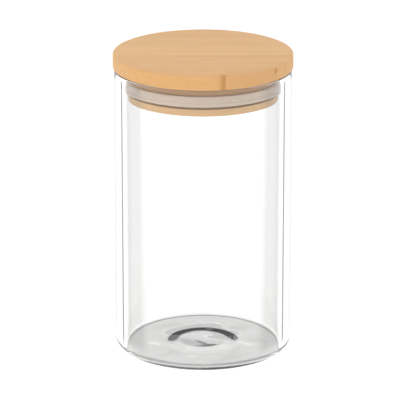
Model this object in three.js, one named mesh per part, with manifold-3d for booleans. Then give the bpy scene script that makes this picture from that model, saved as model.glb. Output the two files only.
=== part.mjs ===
// A lidded glass canister: a thick-walled glass jar, and a bamboo lid whose plug carries a
// silicone sealing ring. The lid is turned from a laminated blank of three plies, a cap ply and
// two plug plies, and each ply is glued up from flat bamboo strips whose grain runs along X.
//
// Millimetres, +Z up. The origin is the centre of the circle that the jar stands on.
import * as THREE from "three";
import { mergeVertices } from "three/addons/utils/BufferGeometryUtils.js";
import Module from "manifold-3d";

// ---- Driving dimensions ----

// Glass jar
const JAR_RADIUS = 50;
const JAR_HEIGHT = 164.6;
const WALL = 6;
const HEEL_RADIUS = 6.5; // rounding between the wall and the base, outside
const LIP_RADIUS = 0.8; // rounding of the mouth's two edges
const FLOOR_THICKNESS = 3;
const FLOOR_FILLET = 1; // rounding between the bore and the floor, inside

// The push-up of the base: a plateau inside the top radius, sloping down to the foot radius
const UNDERSIDE_PUNT = { rise: 2, top: 13, foot: 22 };
const FLOOR_PUNT = { rise: 1, top: 7, foot: 27 };

// Lid cap
const CAP_RADIUS = 50.6;
const CAP_THICKNESS = 8;
const CAP_EDGE = 0.7; // rounding of the cap's two edges

// Lid plug, measured down from the underside of the cap
const PLUG_RADIUS = 42;
const PLUG_DEPTH = 16.6;
const PLUG_EDGE = 0.8; // chamfer of the plug's lower edge
const GROOVE_RADIUS = 39;
const GROOVE_TOP = 4.6; // depth of the groove's upper side
const GROOVE_BOTTOM = 12.6; // depth of the groove's lower side

// Sealing ring, pushed up against the groove's upper side by closing the lid
const RING_HEIGHT = 6.1;
const RING_RIB = 0.25; // how far the ring's two ribs stand out from the band between them
const RING_TO_GLASS = 0.25;
const RING_TO_GROOVE = 0.2;

// Bamboo strips: each ply has a glue joint at this y, and one more every strip width from it
const STRIP_WIDTH = 25;
const CAP_JOINT_Y = -5.5;
const UPPER_PLUG_JOINT_Y = 6;
const LOWER_PLUG_JOINT_Y = -7.5;
const GLUE_LINE = 0.1; // between two glued pieces of bamboo

const SEAT_GAP = 0.1; // between the cap and the glass that it rests on

const ROUND_SEGMENTS = 64;
const ARC_STEPS = 4;
const PUNT_STEPS = 8;

// ---- Derived heights and radii ----

const boreRadius = JAR_RADIUS - WALL;
const capUnderside = JAR_HEIGHT + SEAT_GAP;
const capTop = capUnderside + CAP_THICKNESS;
const plugTop = capUnderside - GLUE_LINE;
const plugBottom = capUnderside - PLUG_DEPTH;
const grooveTop = capUnderside - GROOVE_TOP;
const grooveBottom = capUnderside - GROOVE_BOTTOM;
const plyJoint = (grooveTop + grooveBottom) / 2; // hidden behind the ring
const ringTop = grooveTop - RING_TO_GROOVE;
const ringBottom = ringTop - RING_HEIGHT;
const ringRadius = boreRadius - RING_TO_GLASS;

// ---- Profiles: lists of (radius, height) points, for turning about Z ----

const point = (radius, height) => new THREE.Vector2(radius, height);

// Points of an arc about (radius, height), angles in degrees from the outward direction.
function arc(radius, height, size, fromDegrees, toDegrees, steps = ARC_STEPS) {
  const points = [];
  for (let i = 0; i <= steps; i++) {
    const angle = THREE.MathUtils.degToRad(fromDegrees + ((toDegrees - fromDegrees) * i) / steps);
    points.push(point(radius + size * Math.cos(angle), height + size * Math.sin(angle)));
  }
  return points;
}

// The push-up over the surface at the given height, from the axis outwards.
function punt(height, { rise, top, foot }) {
  const points = [point(0, height + rise)];
  for (let i = 0; i <= PUNT_STEPS; i++) {
    const share = i / PUNT_STEPS;
    const radius = top + (foot - top) * share;
    points.push(point(radius, height + (rise * (1 + Math.cos(Math.PI * share))) / 2));
  }
  return points;
}

function turned(profile) {
  return new THREE.LatheGeometry(profile, ROUND_SEGMENTS).rotateX(Math.PI / 2);
}

// ---- Cutting and joining closed meshes ----

const wasm = await Module();
wasm.setup();

function toSolid(geometry) {
  const bare = geometry.clone();
  bare.deleteAttribute("normal");
  bare.deleteAttribute("uv");
  const merged = mergeVertices(bare, 1e-4);
  return new wasm.Manifold(
    new wasm.Mesh({
      numProp: 3,
      vertProperties: merged.attributes.position.array,
      triVerts: new Uint32Array(merged.index.array),
    }),
  );
}

function toGeometry(solid) {
  const mesh = solid.getMesh();
  const geometry = new THREE.BufferGeometry();
  geometry.setAttribute("position", new THREE.BufferAttribute(mesh.vertProperties, 3));
  geometry.setIndex(new THREE.BufferAttribute(mesh.triVerts, 1));
  return geometry;
}

// A board along X that fills y from yLow to yHigh and z from zLow to zHigh.
function board(length, yLow, yHigh, zLow, zHigh) {
  const box = new THREE.BoxGeometry(length, yHigh - yLow, zHigh - zLow);
  return box.translate(0, (yLow + yHigh) / 2, (zLow + zHigh) / 2);
}

// ---- Materials ----

const glass = new THREE.MeshStandardMaterial({
  color: "#eef3f2",
  roughness: 0.02,
  metalness: 0,
  transparent: true,
  opacity: 0.25,
});
const silicone = new THREE.MeshStandardMaterial({ color: "#d6c8b8", roughness: 0.45, metalness: 0 });
const bambooTones = ["#dcb183", "#d9ac7c", "#dfb588", "#d6a877"];
const bamboo = bambooTones.map(
  (color) => new THREE.MeshStandardMaterial({ color, roughness: 0.55, metalness: 0 }),
);

// ---- The pieces ----

const canister = new THREE.Group();

function add(name, geometry, material) {
  const mesh = new THREE.Mesh(geometry, material);
  mesh.name = name;
  canister.add(mesh);
}

// One ply of a turned blank, from zLow to zHigh, as its separate strips numbered from the front.
function addPly(name, blank, radius, jointY, zLow, zHigh) {
  const front = jointY - STRIP_WIDTH * Math.ceil((radius + jointY) / STRIP_WIDTH);
  const strips = Math.ceil((radius - front) / STRIP_WIDTH);
  for (let i = 0; i < strips; i++) {
    const yLow = front + i * STRIP_WIDTH + GLUE_LINE / 2;
    const yHigh = front + (i + 1) * STRIP_WIDTH - GLUE_LINE / 2;
    const strip = blank.intersect(toSolid(board(3 * radius, yLow, yHigh, zLow, zHigh)));
    add(`${name}_${i + 1}`, toGeometry(strip), bamboo[i % bamboo.length]);
  }
}

function addJar() {
  const heel = JAR_RADIUS - HEEL_RADIUS;
  const lipHeight = JAR_HEIGHT - LIP_RADIUS;
  const profile = [
    ...punt(0, UNDERSIDE_PUNT),
    ...arc(heel, HEEL_RADIUS, HEEL_RADIUS, -90, 0),
    ...arc(JAR_RADIUS - LIP_RADIUS, lipHeight, LIP_RADIUS, 0, 90),
    ...arc(boreRadius + LIP_RADIUS, lipHeight, LIP_RADIUS, 90, 180),
    ...arc(boreRadius - FLOOR_FILLET, FLOOR_THICKNESS + FLOOR_FILLET, FLOOR_FILLET, 0, -90),
    ...punt(FLOOR_THICKNESS, FLOOR_PUNT).reverse(),
  ];
  add("glass_jar", turned(profile), glass);
}

function addSealingRing() {
  const inner = GROOVE_RADIUS + RING_TO_GROOVE;
  const band = ringRadius - RING_RIB;
  const ribHeight = RING_HEIGHT / 3;
  const edge = 0.5; // rounding of the ring's corners, as short chamfers
  const profile = [
    point(inner, ringBottom),
    point(ringRadius - edge, ringBottom),
    point(ringRadius, ringBottom + edge),
    point(ringRadius, ringBottom + ribHeight - edge),
    point(band, ringBottom + ribHeight),
    point(band, ringTop - ribHeight),
    point(ringRadius, ringTop - ribHeight + edge),
    point(ringRadius, ringTop - edge),
    point(ringRadius - edge, ringTop),
    point(inner, ringTop),
    point(inner, ringBottom),
  ];
  add("sealing_ring", turned(profile), silicone);
}

function addCap() {
  const side = CAP_RADIUS - CAP_EDGE;
  const profile = [
    point(0, capUnderside),
    ...arc(side, capUnderside + CAP_EDGE, CAP_EDGE, -90, 0, 2),
    ...arc(side, capTop - CAP_EDGE, CAP_EDGE, 0, 90, 2),
    point(0, capTop),
  ];
  const blank = toSolid(turned(profile));
  addPly("cap_strip", blank, CAP_RADIUS, CAP_JOINT_Y, capUnderside - 1, capTop + 1);
}

function addPlug() {
  const profile = [
    point(0, plugBottom),
    point(PLUG_RADIUS - PLUG_EDGE, plugBottom),
    point(PLUG_RADIUS, plugBottom + PLUG_EDGE),
    point(PLUG_RADIUS, grooveBottom),
    point(GROOVE_RADIUS, grooveBottom),
    point(GROOVE_RADIUS, grooveTop),
    point(PLUG_RADIUS, grooveTop),
    point(PLUG_RADIUS, plugTop),
    point(0, plugTop),
  ];
  const blank = toSolid(turned(profile));
  const upperLow = plyJoint + GLUE_LINE / 2;
  const lowerHigh = plyJoint - GLUE_LINE / 2;
  addPly("upper_plug_strip", blank, PLUG_RADIUS, UPPER_PLUG_JOINT_Y, upperLow, plugTop + 1);
  addPly("lower_plug_strip", blank, PLUG_RADIUS, LOWER_PLUG_JOINT_Y, plugBottom - 1, lowerHigh);
}

addJar();
addSealingRing();
addCap();
addPlug();

export default canister;
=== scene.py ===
"""The looks of the lidded glass canister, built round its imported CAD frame.

Everything is in metres in the CAD frame: +Z up the jar's axis, +X along the bamboo's grain.
"""
import math

import bmesh
import bpy
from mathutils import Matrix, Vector


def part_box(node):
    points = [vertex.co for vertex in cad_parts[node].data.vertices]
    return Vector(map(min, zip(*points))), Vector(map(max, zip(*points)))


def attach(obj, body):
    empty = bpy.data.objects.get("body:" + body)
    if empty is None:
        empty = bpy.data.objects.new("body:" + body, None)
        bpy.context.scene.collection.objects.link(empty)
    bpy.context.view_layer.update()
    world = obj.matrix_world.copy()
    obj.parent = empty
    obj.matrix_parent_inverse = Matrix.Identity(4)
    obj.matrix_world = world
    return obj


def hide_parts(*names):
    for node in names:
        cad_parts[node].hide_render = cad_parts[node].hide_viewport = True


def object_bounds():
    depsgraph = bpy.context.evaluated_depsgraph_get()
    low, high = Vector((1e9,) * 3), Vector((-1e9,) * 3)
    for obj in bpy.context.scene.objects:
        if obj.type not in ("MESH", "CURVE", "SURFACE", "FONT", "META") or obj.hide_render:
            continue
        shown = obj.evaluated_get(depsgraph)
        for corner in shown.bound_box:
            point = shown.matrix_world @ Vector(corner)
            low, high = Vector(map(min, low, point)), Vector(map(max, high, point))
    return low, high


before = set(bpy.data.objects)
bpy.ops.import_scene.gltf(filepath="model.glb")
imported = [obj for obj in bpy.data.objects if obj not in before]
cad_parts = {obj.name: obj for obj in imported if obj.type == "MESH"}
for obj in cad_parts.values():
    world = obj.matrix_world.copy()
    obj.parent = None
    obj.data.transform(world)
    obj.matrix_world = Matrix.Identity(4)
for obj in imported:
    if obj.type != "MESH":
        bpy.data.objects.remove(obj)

cad_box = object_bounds()

MM = 0.001

# How finely the turned shapes are divided
TURN_SEGMENTS = 256
ARC_STEPS = 16
SMALL_ARC_STEPS = 6
RIB_ARC_STEPS = 5
WALL_STEPS = 24
FLAT_STEPS = 8
PUNT_STEPS = 24

SAME_POINT = 1e-7  # points nearer than this are one point
CREASE_DEGREES = 30  # edges that turn by more than this are shaded sharp

# ---- Glass jar ----

WALL = 6 * MM
HEEL_RADIUS = 6.5 * MM
LIP_RADIUS = 0.8 * MM
FLOOR_THICKNESS = 3 * MM
FLOOR_FILLET = 1 * MM

# The push-up of the base: its rise, the radius of its plateau and the radius of its foot
UNDERSIDE_PUNT = (2 * MM, 13 * MM, 22 * MM)
FLOOR_PUNT = (1 * MM, 7 * MM, 27 * MM)

# The slight unevenness of the floor inside
RIPPLE = 0.2 * MM
RIPPLE_LENGTH = 8 * MM
RIPPLE_SWAY = 1.7
RIPPLE_SHIFT = (0.9, 0.6)
RIPPLE_ABOVE = 0.9 * FLOOR_THICKNESS  # the floor inside is higher than this, the underside lower

GLASS_IOR = 1.5

# Painted shade on the outer wall, by how far it turns from the eye: 0 faces it, and 1 is side on.
# It greys the wall near the jar's sides and paints thin dark lines there, for dark surroundings.
PAINTED_EDGE_SHADE = (
    (0.0, 1.0), (0.25, 1.0), (0.34, 0.62), (0.43, 0.59), (0.49, 0.49), (0.54, 1.0),
    (0.592, 1.0), (0.600, 0.05), (0.620, 0.05), (0.632, 1.0), (0.8, 1.0), (1.0, 0.25),
)
EDGE_BLEND = 0.5

# Where that fades in and out: in from the outside, up from the table and down from the mouth
EDGE_SHADE_FADE_IN = (0.5 * MM, 2 * MM)
EDGE_SHADE_FADE_FOOT = (5 * MM, 12 * MM)
EDGE_SHADE_FADE_MOUTH = (2.1 * MM, 3.6 * MM)

# Painted shade on the base, for the shade under the jar seen through it: its grey (the light it
# lets through), and where it fades out, up from the floor inside and in from the bore
BASE_PAINTED_SHADE = 0.65
BASE_FADE_HEIGHT = (1.5 * MM, 2.5 * MM)
BASE_FADE_IN = (-0.5 * MM, 1 * MM)

# A painted contact shadow, the thin dark line where the jar touches the table: its height, width,
# soft edges and grey
CONTACT_SHADOW_HEIGHT = (0.3 * MM, 0.6 * MM)
CONTACT_SHADOW_WIDTH = 1.2 * MM
CONTACT_SHADOW_EDGE = 0.4 * MM
CONTACT_SHADOW_GREY = 0.1

# The shear mark in the floor: its middle, direction, length and width, soft edges and grey
SHEAR_MARK_CENTER = (-1.2 * MM, -7 * MM)
SHEAR_MARK_DEGREES = -45
SHEAR_MARK_SIZE = (12 * MM, 1.8 * MM)
SHEAR_MARK_EDGES = (5 * MM, 2 * MM, 0.5 * MM, 0.5 * MM)
SHEAR_MARK_GREY = 0.05

# ---- Bamboo lid ----

CAP_EDGE = 0.7 * MM
PLUG_EDGE = 0.8 * MM
GROOVE_DEPTH = 3 * MM
GROOVE_HEIGHT = 8 * MM
GROOVE_BELOW_CAP = 4.6 * MM

# Bamboo colours, strip by strip from the front
CAP_COLORS = (
    (0.605, 0.346, 0.144),
    (0.595, 0.350, 0.152),
    (0.61, 0.366, 0.160),
    (0.595, 0.348, 0.153),
    (0.60, 0.355, 0.155),
)
# The upper plug's bamboo is darker than the rest: painted shade, for the shade under the cap's
# overhang
UPPER_PLUG_SHADED_COLORS = (
    (0.42, 0.250, 0.112),
    (0.43, 0.258, 0.116),
    (0.41, 0.243, 0.108),
    (0.42, 0.250, 0.112),
)
LOWER_PLUG_COLORS = (
    (0.54, 0.340, 0.160),
    (0.55, 0.350, 0.168),
    (0.53, 0.332, 0.155),
    (0.54, 0.340, 0.160),
)

# Bamboo's patterns: cells per metre along x, y and z, and detail
BAND_NOISE = ((6, 190, 190), 2.0)
FIBRE_NOISE = ((40, 2600, 2600), 3.0)
BUNDLE_NOISE = ((26, 1100, 1100), 1.0)

# How each pattern darkens the bamboo: the values where it starts and is fullest, amount, tint
BAND_TINT = (0.35, 0.7, 0.5, (0.89, 0.86, 0.80))
FIBRE_TINT = (0.42, 0.68, 0.5, (0.86, 0.81, 0.72))
BUNDLE_TINT = (0.66, 0.78, 0.6, (0.68, 0.58, 0.46))

# How far the patterns move from one seed to the next, and where the plies' seeds start
SEED_SHIFT = (3.7, 11.3, 7.9)
CAP_SEED = 0
UPPER_PLUG_SEED = 20
LOWER_PLUG_SEED = 40

BAMBOO_ROUGHNESS = (0.3, 0.7, 0.50, 0.62)  # from these values of the fibres to these roughnesses
BAMBOO_SPECULAR = 0.3
BAMBOO_BUMP = (0.04 * MM, 0.35)

# Marks of the cap's strips: x range, y range, soft edges (left, right, front, back), amount, tint
NODE_BAND = (
    (8 * MM, 12.6 * MM),
    (-60 * MM, -45 * MM),
    (3.4 * MM, 0.4 * MM, 1 * MM, 2 * MM),
    1.0,
    (0.72, 0.62, 0.50),
)
TAN_END = (
    (12.4 * MM, 60 * MM),
    (-60 * MM, -30 * MM),
    (0.4 * MM, 1 * MM, 1 * MM, 1 * MM),
    0.8,
    (0.91, 0.90, 0.92),
)
DARK_STREAK = (
    (-20 * MM, 60 * MM),
    (-13 * MM, -5 * MM),
    (9 * MM, 1 * MM, 4 * MM, 0.1 * MM),
    0.9,
    (0.91, 0.89, 0.86),
)
PALE_STREAK = (
    (-24 * MM, 30 * MM),
    (-6 * MM, -1 * MM),
    (9 * MM, 9 * MM, 0.1 * MM, 4 * MM),
    0.9,
    (1.05, 1.06, 1.07),
)
CAP_MARKS = {1: (NODE_BAND, TAN_END), 2: (DARK_STREAK,), 3: (PALE_STREAK,)}

# A dark fleck in the rim: its place, from the cap's top face down, its radius, amount and tint
FLECK_PLACE = (40.2 * MM, -30.6 * MM, -2.2 * MM)
FLECK = (2.4 * MM, 0.9, (0.72, 0.62, 0.54))
SPOT_CORE = 0.3  # share of a spot's radius that has its full tint

# ---- Sealing ring ----

RING_RIB = 0.25 * MM
RING_EDGE = 0.5 * MM
RING_BEND_DEGREES = 60
RING_TO_GROOVE = 0.2 * MM

SILICONE_COLOR = (0.47, 0.39, 0.32)
SILICONE_ROUGHNESS = 0.38
SILICONE_IOR = 1.41

# Its cloudiness: cells per metre, where in the noise it lies, detail, how it tints, and colour
CLOUD_NOISE = ((220, 220, 220), (3, 1, 2), 3.0)
CLOUD_TINT = (0.35, 0.65, 0, 0.5)
CLOUD_COLOR = (0.45, 0.37, 0.30)

# The light that goes into it: share, reach of red, green and blue, and scale of that reach
SUBSURFACE_WEIGHT = 0.2
SUBSURFACE_RADIUS = (1, 0.8, 0.65)
SUBSURFACE_SCALE = 2 * MM

GRAIN_NOISE = ((2500, 2500, 2500), (0, 0, 0), 2.0)
SILICONE_BUMP = (0.02 * MM, 0.25)

# ---- Stage, light and camera ----

WORLD_HORIZON = 1.7
WORLD_TOP = 1.05
WORLD_TOP_FROM = 0.7  # sine of the angle from which the surround is as dim as overhead

KEY_POWER = 12
KEY_SIZE = 1.6
KEY_COLOR = (1.0, 0.94, 0.86)
KEY_PLACE = (-1.8, -1.4, 1.2)
KEY_TARGET = (0, 0, 0.12)

FLOOR_REACH = 6
FLOOR_BELOW = 0.05 * MM
FLOOR_GREY = 0.52
FLOOR_GLOW = 0.49
FLOOR_ROUGHNESS = 0.8

# Bands of the studio that only the glass shows: lowest and highest angle in degrees, and glow
BAND_DISTANCE = 1.5
BAND_SEGMENTS = 64
STUDIO_BANDS = {"low_flag": (8.5, 17.5, 0), "mid_band": (18, 27, 0.7)}

# Camera, set off from the jar's foot
CAMERA_DISTANCE = 1.94
CAMERA_HEIGHT = 0.7061
CAMERA_TARGET = (-1.7 * MM, 0, 86.1 * MM)
CAMERA_LENS = 323.5  # millimetres, like the sensor's width
CAMERA_SENSOR = 36


# ---- Profiles: lists of (radius, height) ----

def arc(radius, height, size, start, end, steps=ARC_STEPS):
    """Points of an arc about (radius, height); angles in degrees from the outward direction."""
    points = []
    for i in range(steps + 1):
        angle = math.radians(start + (end - start) * i / steps)
        points.append((radius + size * math.cos(angle), height + size * math.sin(angle)))
    return points


def straight(start, end, steps):
    """Points inside a straight stretch, without its ends."""
    points = []
    for i in range(1, steps):
        share = i / steps
        radius = start[0] + (end[0] - start[0]) * share
        height = start[1] + (end[1] - start[1]) * share
        points.append((radius, height))
    return points


def punt(height, rise, top, foot):
    """A plateau of the given rise inside the radius top, sloping down to the radius foot."""
    points = [(0, height + rise)]
    for i in range(1, FLAT_STEPS):
        points.append((top * i / FLAT_STEPS, height + rise))
    for i in range(PUNT_STEPS + 1):
        share = i / PUNT_STEPS
        radius = top + (foot - top) * share
        points.append((radius, height + rise * (1 + math.cos(math.pi * share)) / 2))
    return points


# ---- Mesh work ----

def turned_mesh(profile):
    """A bmesh of the profile turned about Z. Points on the axis become single vertices."""
    bm = bmesh.new()
    rings = []
    for radius, height in profile:
        if radius < SAME_POINT:
            rings.append([bm.verts.new((0, 0, height))])
            continue
        ring = []
        for i in range(TURN_SEGMENTS):
            angle = 2 * math.pi * i / TURN_SEGMENTS
            ring.append(bm.verts.new((radius * math.cos(angle), radius * math.sin(angle), height)))
        rings.append(ring)
    for lower, upper in zip(rings, rings[1:]):
        for i in range(TURN_SEGMENTS):
            j = (i + 1) % TURN_SEGMENTS
            corners = [
                lower[i % len(lower)],
                lower[j % len(lower)],
                upper[j % len(upper)],
                upper[i % len(upper)],
            ]
            bm.faces.new(list(dict.fromkeys(corners)))
    bmesh.ops.remove_doubles(bm, verts=bm.verts, dist=SAME_POINT)
    bmesh.ops.recalc_face_normals(bm, faces=bm.faces)
    return bm


def add_piece(name, bm, material, body, slot, *nodes):
    """Makes the bmesh an object that rides on a body and stands for CAD nodes."""
    mesh = bpy.data.meshes.new(name)
    bm.to_mesh(mesh)
    bm.free()
    piece = bpy.data.objects.new(name, mesh)
    bpy.context.scene.collection.objects.link(piece)
    mesh.materials.append(material)
    for face in mesh.polygons:
        face.use_smooth = True
    mesh.set_sharp_from_angle(angle=math.radians(CREASE_DEGREES))
    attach(piece, body)
    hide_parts(*nodes)
    return piece


# ---- Parts of materials ----

def new_material(name):
    material = bpy.data.materials.new(name)
    material.use_nodes = True
    nodes = material.node_tree.nodes
    return material, nodes, material.node_tree.links, nodes["Principled BSDF"]


def stretched_noise(nodes, links, scale, offset, detail):
    """Noise in the object's own space: scale is cells per metre along x, y and z."""
    coordinates = nodes.new("ShaderNodeTexCoord")
    mapping = nodes.new("ShaderNodeMapping")
    mapping.inputs["Scale"].default_value = scale
    mapping.inputs["Location"].default_value = offset
    noise = nodes.new("ShaderNodeTexNoise")
    noise.inputs["Scale"].default_value = 1
    noise.inputs["Detail"].default_value = detail
    links.new(coordinates.outputs["Object"], mapping.inputs["Vector"])
    links.new(mapping.outputs["Vector"], noise.inputs["Vector"])
    return noise.outputs["Fac"]


def remap(nodes, links, value, from_min, from_max, to_min, to_max):
    """A soft step: to_min up to from_min, to_max past from_max, and smooth in between."""
    node = nodes.new("ShaderNodeMapRange")
    node.interpolation_type = "SMOOTHSTEP"
    links.new(value, node.inputs["Value"])
    node.inputs["From Min"].default_value = from_min
    node.inputs["From Max"].default_value = from_max
    node.inputs["To Min"].default_value = to_min
    node.inputs["To Max"].default_value = to_max
    return node.outputs["Result"]


def set_color(links, socket, color):
    """Sets a socket to a fixed colour, or links another socket to it."""
    if isinstance(color, tuple):
        socket.default_value = (*color, 1)
    else:
        links.new(color, socket)


def tinted(nodes, links, color, factor, tint):
    """Mixes the colour towards the tint. Each of the two is a socket or a fixed colour."""
    mix = nodes.new("ShaderNodeMix")
    mix.data_type = "RGBA"
    links.new(factor, mix.inputs["Factor"])
    set_color(links, mix.inputs["A"], color)
    set_color(links, mix.inputs["B"], tint)
    return mix.outputs["Result"]


def product(nodes, links, first, second):
    """Multiplies two sockets, or a socket and a fixed number."""
    node = nodes.new("ShaderNodeMath")
    node.operation = "MULTIPLY"
    links.new(first, node.inputs[0])
    if isinstance(second, float):
        node.inputs[1].default_value = second
    else:
        links.new(second, node.inputs[1])
    return node.outputs["Value"]


def scaled(color, *factors):
    return tuple(channel * factor for channel, factor in zip(color, factors))


def add_bump(nodes, links, shader, height, distance, strength):
    bump = nodes.new("ShaderNodeBump")
    bump.inputs["Strength"].default_value = strength
    bump.inputs["Distance"].default_value = distance
    links.new(height, bump.inputs["Height"])
    links.new(bump.outputs["Normal"], shader.inputs["Normal"])


def soft_steps(nodes, links, *steps):
    """The product of soft steps, each given as value, from, to, start, end."""
    total = remap(nodes, links, *steps[0])
    for step in steps[1:]:
        total = product(nodes, links, total, remap(nodes, links, *step))
    return total


def soft_box(nodes, links, x_range, y_range, edges, center=(0, 0), degrees=0):
    """A mask that is 1 in a rectangle seen from above, with a soft edge of its own on each side.

    The ranges are measured from the centre, along axes turned by the angle.
    """
    coordinates = nodes.new("ShaderNodeTexCoord")
    turned = nodes.new("ShaderNodeMapping")
    turned.vector_type = "TEXTURE"
    turned.inputs["Location"].default_value = (*center, 0)
    turned.inputs["Rotation"].default_value = (0, 0, math.radians(degrees))
    links.new(coordinates.outputs["Object"], turned.inputs["Vector"])
    split = nodes.new("ShaderNodeSeparateXYZ")
    links.new(turned.outputs["Vector"], split.inputs["Vector"])
    left, right, front, back = edges
    return soft_steps(
        nodes,
        links,
        (split.outputs["X"], x_range[0], x_range[0] + left, 0, 1),
        (split.outputs["X"], x_range[1] - right, x_range[1], 1, 0),
        (split.outputs["Y"], y_range[0], y_range[0] + front, 0, 1),
        (split.outputs["Y"], y_range[1] - back, y_range[1], 1, 0),
    )


def soft_spot(nodes, links, center, radius):
    """A mask that is 1 round a point and fades to 0 at the radius."""
    coordinates = nodes.new("ShaderNodeTexCoord")
    distance = nodes.new("ShaderNodeVectorMath")
    distance.operation = "DISTANCE"
    links.new(coordinates.outputs["Object"], distance.inputs[0])
    distance.inputs[1].default_value = center
    return remap(nodes, links, distance.outputs["Value"], SPOT_CORE * radius, radius, 1, 0)


def height_and_radius(nodes, links):
    """Sockets for a point's height and for its distance from the jar's axis."""
    coordinates = nodes.new("ShaderNodeTexCoord")
    split = nodes.new("ShaderNodeSeparateXYZ")
    links.new(coordinates.outputs["Object"], split.inputs["Vector"])
    flat = nodes.new("ShaderNodeVectorMath")
    flat.operation = "MULTIPLY"
    links.new(coordinates.outputs["Object"], flat.inputs[0])
    flat.inputs[1].default_value = (1, 1, 0)
    length = nodes.new("ShaderNodeVectorMath")
    length.operation = "LENGTH"
    links.new(flat.outputs["Vector"], length.inputs[0])
    return split.outputs["Z"], length.outputs["Value"]


# ---- Materials ----

def painted_edge_shade(nodes, links):
    """Painted shade on the outer wall: grey near its sides and thin dark lines near its edges, by
    Layer Weight.
    """
    facing = nodes.new("ShaderNodeLayerWeight")
    facing.inputs["Blend"].default_value = EDGE_BLEND
    ramp = nodes.new("ShaderNodeValToRGB")
    links.new(facing.outputs["Facing"], ramp.inputs[0])
    elements = ramp.color_ramp.elements  # a new ramp has two of its own
    for number, (place, grey) in enumerate(PAINTED_EDGE_SHADE):
        element = elements[number] if number < 2 else elements.new(place)
        element.position = place
        element.color = (grey, grey, grey, 1)
    return ramp.outputs["Color"]


def shear_mark(nodes, links):
    """A mask for the short mark that is left where the molten glass was cut."""
    half_length = SHEAR_MARK_SIZE[0] / 2
    half_width = SHEAR_MARK_SIZE[1] / 2
    return soft_box(
        nodes,
        links,
        (-half_length, half_length),
        (-half_width, half_width),
        SHEAR_MARK_EDGES,
        SHEAR_MARK_CENTER,
        SHEAR_MARK_DEGREES,
    )


def glass_material(outside, bore, mouth):
    """Clear glass with painted shade: a greyed wall with thin dark lines, a grey base and a dark
    contact line. Also a shear mark.
    """
    material, nodes, links, shader = new_material("clear_glass")
    height, radius = height_and_radius(nodes, links)
    # Mask of the painted edge shade on the outer wall
    edge_shade_mask = soft_steps(
        nodes,
        links,
        (radius, outside - EDGE_SHADE_FADE_IN[1], outside - EDGE_SHADE_FADE_IN[0], 0, 1),
        (height, *EDGE_SHADE_FADE_FOOT, 0, 1),
        (height, mouth - EDGE_SHADE_FADE_MOUTH[1], mouth - EDGE_SHADE_FADE_MOUTH[0], 1, 0),
    )
    # Mask of the painted shade on the base, for the shade under the jar
    in_base = soft_steps(
        nodes,
        links,
        (height, FLOOR_THICKNESS + BASE_FADE_HEIGHT[0], FLOOR_THICKNESS + BASE_FADE_HEIGHT[1], 1, 0),
        (radius, bore - BASE_FADE_IN[1], bore - BASE_FADE_IN[0], 1, 0),
    )
    contact_inner = outside - HEEL_RADIUS - CONTACT_SHADOW_WIDTH / 2
    contact_outer = outside - HEEL_RADIUS + CONTACT_SHADOW_WIDTH / 2
    # Mask of the painted contact shadow where the jar meets the table
    at_contact_shadow = soft_steps(
        nodes,
        links,
        (height, *CONTACT_SHADOW_HEIGHT, 1, 0),
        (radius, contact_inner - CONTACT_SHADOW_EDGE, contact_inner, 0, 1),
        (radius, contact_outer, contact_outer + CONTACT_SHADOW_EDGE, 1, 0),
    )
    at_mark = product(nodes, links, shear_mark(nodes, links), in_base)
    # The wall's painted edge shade, then the base's painted shade, the painted contact shadow and the
    # shear mark
    color = tinted(nodes, links, (1, 1, 1), edge_shade_mask, painted_edge_shade(nodes, links))
    for where, grey in ((in_base, BASE_PAINTED_SHADE), (at_contact_shadow, CONTACT_SHADOW_GREY), (at_mark, SHEAR_MARK_GREY)):
        color = tinted(nodes, links, color, where, (grey, grey, grey))
    links.new(color, shader.inputs["Base Color"])
    shader.inputs["Transmission Weight"].default_value = 1
    shader.inputs["Roughness"].default_value = 0
    shader.inputs["IOR"].default_value = GLASS_IOR
    return material


def silicone_material():
    """Milky silicone: faintly cloudy, with a fine grain, letting some light in."""
    material, nodes, links, shader = new_material("milky_silicone")
    haze = remap(nodes, links, stretched_noise(nodes, links, *CLOUD_NOISE), *CLOUD_TINT)
    links.new(tinted(nodes, links, SILICONE_COLOR, haze, CLOUD_COLOR), shader.inputs["Base Color"])
    shader.inputs["Roughness"].default_value = SILICONE_ROUGHNESS
    shader.inputs["IOR"].default_value = SILICONE_IOR
    shader.inputs["Subsurface Weight"].default_value = SUBSURFACE_WEIGHT
    shader.inputs["Subsurface Radius"].default_value = SUBSURFACE_RADIUS
    shader.inputs["Subsurface Scale"].default_value = SUBSURFACE_SCALE
    add_bump(nodes, links, shader, stretched_noise(nodes, links, *GRAIN_NOISE), *SILICONE_BUMP)
    return material


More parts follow.
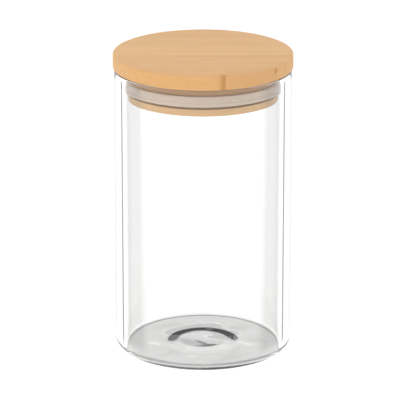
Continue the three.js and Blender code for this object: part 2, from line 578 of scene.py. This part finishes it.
def bamboo_material(name, seed, base, marks, spots):
    """One strip's bamboo.

    base is its colour, each mark gives x range, y range, soft edges, amount and tint, and each
    spot gives centre, radius, amount and tint.
    """
    material, nodes, links, shader = new_material(name)
    offset = scaled((seed, seed, seed), *SEED_SHIFT)
    turned_offset = (offset[1], offset[2], offset[0])

    def noise(pattern, place):
        scale, detail = pattern
        return stretched_noise(nodes, links, scale, place, detail)

    bands = noise(BAND_NOISE, offset)
    fibres = noise(FIBRE_NOISE, offset)
    bundles = noise(BUNDLE_NOISE, turned_offset)
    color = base
    for value, (start, full, amount, tint) in (
        (bands, BAND_TINT),
        (fibres, FIBRE_TINT),
        (bundles, BUNDLE_TINT),
    ):
        mask = remap(nodes, links, value, start, full, 0, amount)
        color = tinted(nodes, links, color, mask, scaled(base, *tint))
    for x_range, y_range, edges, amount, tint in marks:
        mask = product(nodes, links, soft_box(nodes, links, x_range, y_range, edges), amount)
        color = tinted(nodes, links, color, mask, scaled(base, *tint))
    for center, radius, amount, tint in spots:
        mask = product(nodes, links, soft_spot(nodes, links, center, radius), amount)
        color = tinted(nodes, links, color, mask, scaled(base, *tint))
    links.new(color, shader.inputs["Base Color"])
    links.new(remap(nodes, links, fibres, *BAMBOO_ROUGHNESS), shader.inputs["Roughness"])
    shader.inputs["Specular IOR Level"].default_value = BAMBOO_SPECULAR
    add_bump(nodes, links, shader, fibres, *BAMBOO_BUMP)
    return material


# ---- The pieces ----

def floor_ripple(x, y, bore):
    """The slight unevenness of the floor inside, which dies away towards the wall."""
    fade = max(0, 1 - (x * x + y * y) / (bore * bore))
    sway = RIPPLE_SWAY * math.sin(y / RIPPLE_LENGTH + RIPPLE_SHIFT[1])
    wave = math.sin(x / RIPPLE_LENGTH + sway + RIPPLE_SHIFT[0])
    return RIPPLE * fade * wave


def jar_profile(outside, bore, mouth):
    """From the middle of the underside out, up the wall, down the bore and back over the floor."""
    heel = outside - HEEL_RADIUS
    lip_height = mouth - LIP_RADIUS
    foot_of_bore = FLOOR_THICKNESS + FLOOR_FILLET
    floor_edge = (bore - FLOOR_FILLET, FLOOR_THICKNESS)
    floor_foot = (FLOOR_PUNT[2], FLOOR_THICKNESS)
    return [
        *punt(0, *UNDERSIDE_PUNT),
        *straight((UNDERSIDE_PUNT[2], 0), (heel, 0), FLAT_STEPS),
        *arc(heel, HEEL_RADIUS, HEEL_RADIUS, -90, 0),
        *straight((outside, HEEL_RADIUS), (outside, lip_height), WALL_STEPS),
        *arc(outside - LIP_RADIUS, lip_height, LIP_RADIUS, 0, 90),
        *arc(bore + LIP_RADIUS, lip_height, LIP_RADIUS, 90, 180)[1:],
        *straight((bore, lip_height), (bore, foot_of_bore), WALL_STEPS),
        *arc(bore - FLOOR_FILLET, foot_of_bore, FLOOR_FILLET, 0, -90),
        *straight(floor_edge, floor_foot, FLAT_STEPS),
        *reversed(punt(FLOOR_THICKNESS, *FLOOR_PUNT)),
    ]


def make_jar():
    """The jar. It casts no shadow, so the ring and plug are lit the same in it and out of it."""
    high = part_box("glass_jar")[1]
    outside = high.x
    bore = outside - WALL
    jar = turned_mesh(jar_profile(outside, bore, high.z))
    for vertex in jar.verts:
        if vertex.co.z > RIPPLE_ABOVE and vertex.co.xy.length < bore - FLOOR_FILLET:
            vertex.co.z += floor_ripple(vertex.co.x, vertex.co.y, bore)
    material = glass_material(outside, bore, high.z)
    piece = add_piece("jar_glass", jar, material, "jar", "glass", "glass_jar")
    piece.visible_diffuse = False
    piece.visible_shadow = False


def make_sealing_ring():
    """The ring in the plug's groove: two rounded ribs with a band between them."""
    low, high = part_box("sealing_ring")
    outside = high.x
    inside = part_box("upper_plug_strip_2")[1].x - GROOVE_DEPTH + RING_TO_GROOVE
    rib = (high.z - low.z) / 3
    edge = RING_EDGE
    bend = RING_RIB
    turn = RING_BEND_DEGREES
    rise = bend * math.sin(math.radians(turn))
    profile = [
        (inside, low.z),
        *arc(outside - edge, low.z + edge, edge, -90, 0, SMALL_ARC_STEPS),
        *arc(outside - bend, low.z + rib - rise, bend, 0, turn, RIB_ARC_STEPS),
        *arc(outside, low.z + rib + rise, bend, 180 + turn, 180, RIB_ARC_STEPS)[1:],
        *arc(outside, high.z - rib - rise, bend, 180, 180 - turn, RIB_ARC_STEPS),
        *arc(outside - bend, high.z - rib + rise, bend, -turn, 0, RIB_ARC_STEPS)[1:],
        *arc(outside - edge, high.z - edge, edge, 0, 90, SMALL_ARC_STEPS),
        (inside, high.z),
        (inside, low.z),
    ]
    ring = turned_mesh(profile)
    add_piece("silicone_ring", ring, silicone_material(), "seal", "silicone", "sealing_ring")


def cut_strip(profile, y_low, y_high, z_low=None, z_high=None):
    """The part of a turned blank between two glue joints, and between two plies."""
    bm = turned_mesh(profile)
    cuts = [((0, y_low, 0), (0, -1, 0)), ((0, y_high, 0), (0, 1, 0))]
    if z_low is not None:
        cuts.append(((0, 0, z_low), (0, 0, -1)))
        cuts.append(((0, 0, z_high), (0, 0, 1)))
    for place, outward in cuts:
        cut = bmesh.ops.bisect_plane(
            bm,
            geom=[*bm.verts, *bm.edges, *bm.faces],
            dist=SAME_POINT,
            plane_co=place,
            plane_no=outward,
            clear_outer=True,
        )
        rim = [item for item in cut["geom_cut"] if isinstance(item, bmesh.types.BMEdge)]
        if rim:
            bmesh.ops.edgeloop_fill(bm, edges=rim)
    bmesh.ops.recalc_face_normals(bm, faces=bm.faces)
    return bm


def make_strips(ply, piece, profile, colors, seed, marks=None, spots=(), in_height=False):
    """One visible strip for each CAD strip of a ply. marks gives some strips' marks, by number."""
    for number, color in enumerate(colors, start=1):
        low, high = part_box(f"{ply}_{number}")
        heights = (low.z, high.z) if in_height else (None, None)
        strip = cut_strip(profile, low.y, high.y, *heights)
        name = f"{piece}_{number}"
        own_marks = (marks or {}).get(number, ())
        material = bamboo_material(f"bamboo_{name}", seed + number, color, own_marks, spots)
        add_piece(name, strip, material, "lid", "bamboo", f"{ply}_{number}")


def make_cap():
    """The cap ply: a disc with rounded edges, cut into its strips."""
    low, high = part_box("cap_strip_3")
    side = high.x - CAP_EDGE
    profile = [
        (0, low.z),
        *arc(side, low.z + CAP_EDGE, CAP_EDGE, -90, 0, SMALL_ARC_STEPS),
        *arc(side, high.z - CAP_EDGE, CAP_EDGE, 0, 90, SMALL_ARC_STEPS),
        (0, high.z),
    ]
    fleck_center = (FLECK_PLACE[0], FLECK_PLACE[1], high.z + FLECK_PLACE[2])
    flecks = [(fleck_center, *FLECK)]
    make_strips("cap_strip", "cap_bamboo", profile, CAP_COLORS, CAP_SEED, CAP_MARKS, flecks)


def make_plug():
    """The plug's two plies: one grooved blank, cut into strips above and below their joint."""
    upper_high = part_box("upper_plug_strip_2")[1]
    lower_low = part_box("lower_plug_strip_2")[0]
    outside = upper_high.x
    groove = outside - GROOVE_DEPTH
    groove_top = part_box("cap_strip_3")[0].z - GROOVE_BELOW_CAP
    groove_bottom = groove_top - GROOVE_HEIGHT
    edge_height = lower_low.z + PLUG_EDGE
    profile = [
        (0, lower_low.z),
        *arc(outside - PLUG_EDGE, edge_height, PLUG_EDGE, -90, 0, SMALL_ARC_STEPS),
        (outside, groove_bottom),
        (groove, groove_bottom),
        (groove, groove_top),
        (outside, groove_top),
        (outside, upper_high.z),
        (0, upper_high.z),
    ]
    for ply, piece, colors, seed in (
        ("upper_plug_strip", "upper_plug_bamboo", UPPER_PLUG_SHADED_COLORS, UPPER_PLUG_SEED),
        ("lower_plug_strip", "lower_plug_bamboo", LOWER_PLUG_COLORS, LOWER_PLUG_SEED),
    ):
        make_strips(ply, piece, profile, colors, seed, in_height=True)


make_jar()
make_sealing_ring()
make_cap()
make_plug()


# ---- Stage, light and camera ----

def stage_sheet(name, vertices, faces, material):
    """A sheet of the studio, which isn't part of the canister."""
    mesh = bpy.data.meshes.new(name)
    mesh.from_pydata(vertices, [], faces)
    mesh.materials.append(material)
    sheet = bpy.data.objects.new(name, mesh)
    bpy.context.scene.collection.objects.link(sheet)
    return sheet


def glowing_material(name, grey, glow, roughness=0.5):
    """A matt grey that gives off some white light of its own."""
    material, *_, shader = new_material(name)
    shader.inputs["Base Color"].default_value = (grey, grey, grey, 1)
    shader.inputs["Specular IOR Level"].default_value = 0
    shader.inputs["Emission Color"].default_value = (1, 1, 1, 1)
    shader.inputs["Emission Strength"].default_value = glow
    shader.inputs["Roughness"].default_value = roughness
    return material


def make_floor():
    """The pale floor, just under the jar."""
    height = cad_box[0].z - FLOOR_BELOW
    corners = []
    for x, y in ((-1, -1), (1, -1), (1, 1), (-1, 1)):
        corners.append((x * FLOOR_REACH, y * FLOOR_REACH, height))
    material = glowing_material("pale_floor", FLOOR_GREY, FLOOR_GLOW, FLOOR_ROUGHNESS)
    stage_sheet("studio_floor", corners, [(0, 1, 2, 3)], material)


def make_studio_bands():
    """A dark band and a grey one, all round above the horizon. Only bent light meets them."""
    for name, (low, high, glow) in STUDIO_BANDS.items():
        rows = []
        for angle in (low, high):
            height = BAND_DISTANCE * math.tan(math.radians(angle))
            for i in range(BAND_SEGMENTS):
                turn = 2 * math.pi * i / BAND_SEGMENTS
                rows.append((BAND_DISTANCE * math.cos(turn), BAND_DISTANCE * math.sin(turn), height))
        faces = []
        for i in range(BAND_SEGMENTS):
            j = (i + 1) % BAND_SEGMENTS
            faces.append((i, j, BAND_SEGMENTS + j, BAND_SEGMENTS + i))
        band = stage_sheet(name, rows, faces, glowing_material(name, 0, glow))
        band.visible_camera = False
        band.visible_diffuse = False
        band.visible_glossy = False
        band.visible_shadow = False


def make_world():
    """A white surround, brighter towards the horizon than overhead."""
    world = bpy.data.worlds.new("studio")
    bpy.context.scene.world = world
    world.use_nodes = True
    nodes = world.node_tree.nodes
    links = world.node_tree.links
    coordinates = nodes.new("ShaderNodeTexCoord")
    split = nodes.new("ShaderNodeSeparateXYZ")
    links.new(coordinates.outputs["Generated"], split.inputs["Vector"])
    upward = split.outputs["Z"]
    strength = remap(nodes, links, upward, 0, WORLD_TOP_FROM, WORLD_HORIZON, WORLD_TOP)
    links.new(strength, nodes["Background"].inputs["Strength"])
    nodes["Background"].inputs["Color"].default_value = (1, 1, 1, 1)


def aim(item, target):
    """Points a light or camera at the target."""
    direction = Vector(target) - item.location
    item.rotation_euler = direction.to_track_quat("-Z", "Y").to_euler()


def make_key_light():
    """A large soft light from the left and front."""
    light = bpy.data.lights.new("key_light", "AREA")
    light.size = KEY_SIZE
    light.energy = KEY_POWER
    light.color = KEY_COLOR
    lamp = bpy.data.objects.new("key_light", light)
    bpy.context.scene.collection.objects.link(lamp)
    lamp.location = KEY_PLACE
    aim(lamp, KEY_TARGET)
    lamp.visible_camera = False
    lamp.visible_glossy = False


def make_camera():
    """The camera, at the photograph's viewing angle."""
    camera = bpy.data.objects.new("camera", bpy.data.cameras.new("camera"))
    bpy.context.scene.collection.objects.link(camera)
    camera.data.lens = CAMERA_LENS
    camera.data.sensor_width = CAMERA_SENSOR
    camera.location = (0, -CAMERA_DISTANCE, CAMERA_HEIGHT)
    aim(camera, CAMERA_TARGET)
    bpy.context.scene.camera = camera


make_floor()
make_studio_bands()
make_world()
make_key_light()
make_camera()
bpy.context.scene.view_settings.view_transform = "Standard"
